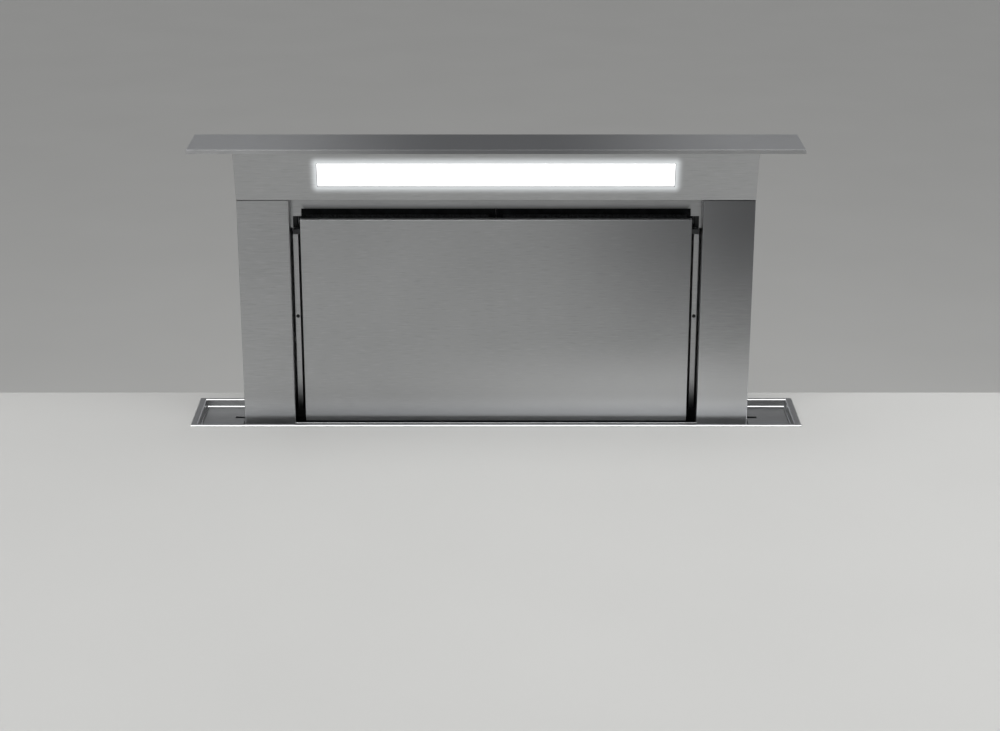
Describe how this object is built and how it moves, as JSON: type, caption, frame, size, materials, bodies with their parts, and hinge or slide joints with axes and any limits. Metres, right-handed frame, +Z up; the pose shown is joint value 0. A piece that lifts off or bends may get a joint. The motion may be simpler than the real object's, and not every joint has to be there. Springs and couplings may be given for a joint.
{
  "type": "downdraft vent",
  "caption": "Downdraft vent: a steel column with lit leaning header and tilting panel over grease filters rises from a worktop slot; geared lift, casing and ducted blower.",
  "frame": {"origin": "centre of the worktop cut-out, on the worktop's top surface", "axes": "+X to the user's right along the worktop, +Y away from the user, +Z up; stored with the column raised"},
  "size_m": [0.88, 0.3, 1.195],
  "materials": {
    "brushed_sheet": "brushed along the length",
    "brushed_upright": "brushed, satin",
    "galvanised": "galvanised sheet, dull",
    "gasket_foam": "closed-cell tape",
    "rail_aluminium": "extruded, mill finish",
    "gear_plastic": "moulded acetal",
    "slide_plastic": "moulded, dry sliding",
    "stop_rubber": "moulded",
    "shaft_steel": "ground",
    "filter_mesh": "rim with expanded mesh",
    "opal_diffuser": "opal, lit from behind",
    "lamp_tray_white": "white, matt",
    "circuit_board": "white solder mask",
    "switch_black": "moulded",
    "motor_case": "black, satin",
    "gearbox_case": "die-cast",
    "fan_plastic": "glass-filled, moulded",
    "duct_plastic": "moulded",
    "control_plastic": "moulded, fine grain",
    "gland_plastic": "moulded"
  },
  "bodies": {
    "casing": {"worktop_frame": "brushed_sheet", "rim_gasket": "gasket_foam", "tray_left": "brushed_sheet", "tray_right": "brushed_sheet", "casing_back": "galvanised", "casing_front": "galvanised", "casing_side_left": "galvanised", "casing_side_right": "galvanised", "casing_floor": "galvanised", "guide_rail_left": "rail_aluminium", "guide_rail_right": "rail_aluminium", "rack_left": "gear_plastic", "rack_right": "gear_plastic", "end_stops": "stop_rubber", "limit_switches": "switch_black", "worktop_clamps": "galvanised", "floor_brackets": "galvanised", "blower_box": "galvanised", "blower_cover": "galvanised", "scroll_wall": "galvanised", "fan_motor": "motor_case", "motor_bracket": "galvanised", "outlet_collar": "duct_plastic", "flap_pin": "shaft_steel", "control_box": "control_plastic", "control_cover": "control_plastic", "cable_gland": "gland_plastic"},
    "column": {"lid": "brushed_sheet", "header": "brushed_sheet", "lamp_diffuser": "opal_diffuser", "lamp_tray": "lamp_tray_white", "led_board": "circuit_board", "pillar_left": "brushed_upright", "pillar_right": "brushed_upright", "column_back_sheet": "brushed_sheet", "tie_beam": "galvanised", "lower_front": "brushed_sheet", "inner_frame": "brushed_sheet", "panel_catches": "slide_plastic", "grease_filter_left": "filter_mesh", "grease_filter_right": "filter_mesh", "filter_grips": "shaft_steel", "hinge_brackets": "shaft_steel", "carriage_left": "galvanised", "carriage_right": "galvanised", "guide_shoes": "slide_plastic", "bearing_blocks": "gear_plastic", "lift_gearbox": "gearbox_case", "lift_motor": "motor_case"},
    "drive_shaft": {"cross_shaft": "shaft_steel", "pinion_left": "gear_plastic", "pinion_right": "gear_plastic"},
    "panel": {"front_panel": "brushed_sheet"},
    "fan": {"impeller": "fan_plastic", "fan_shaft": "shaft_steel"},
    "front_flap": {"flap_front": "duct_plastic"},
    "rear_flap": {"flap_rear": "duct_plastic"}
  },
  "joints": [
    {"name": "column_lift", "type": "slide", "parent": "casing", "child": "column", "axis": [0, 0, 1], "range_m": [-0.403, 0]},
    {"name": "drive_shaft_turn", "type": "hinge", "parent": "column", "child": "drive_shaft", "pos_m": [0, 0.01255, -0.095], "axis": [1, 0, 0], "range_deg": [-5, 861]},
    {"name": "panel_tilt", "type": "hinge", "parent": "column", "child": "panel", "pos_m": [0, -0.0125, 0.001], "axis": [1, 0, 0], "range_deg": [0, 40]},
    {"name": "fan_spin", "type": "hinge", "parent": "casing", "child": "fan", "pos_m": [0, -0.139, -0.59], "axis": [0, 1, 0], "continuous": true},
    {"name": "front_flap_swing", "type": "hinge", "parent": "casing", "child": "front_flap", "pos_m": [0.173, -0.133, -0.6645], "axis": [0, 0, 1], "range_deg": [0, 70], "stiffness_Nm_per_rad": 0.01, "springref_deg": -11.46},
    {"name": "rear_flap_swing", "type": "hinge", "parent": "casing", "child": "rear_flap", "pos_m": [0.173, -0.133, -0.6645], "axis": [0, 0, -1], "range_deg": [0, 70], "stiffness_Nm_per_rad": 0.01, "springref_deg": -11.46}
  ],
  "couplings": [
    {"joint": "drive_shaft_turn", "follows": "column_lift", "rad_per_m": -37.037}
  ]
}
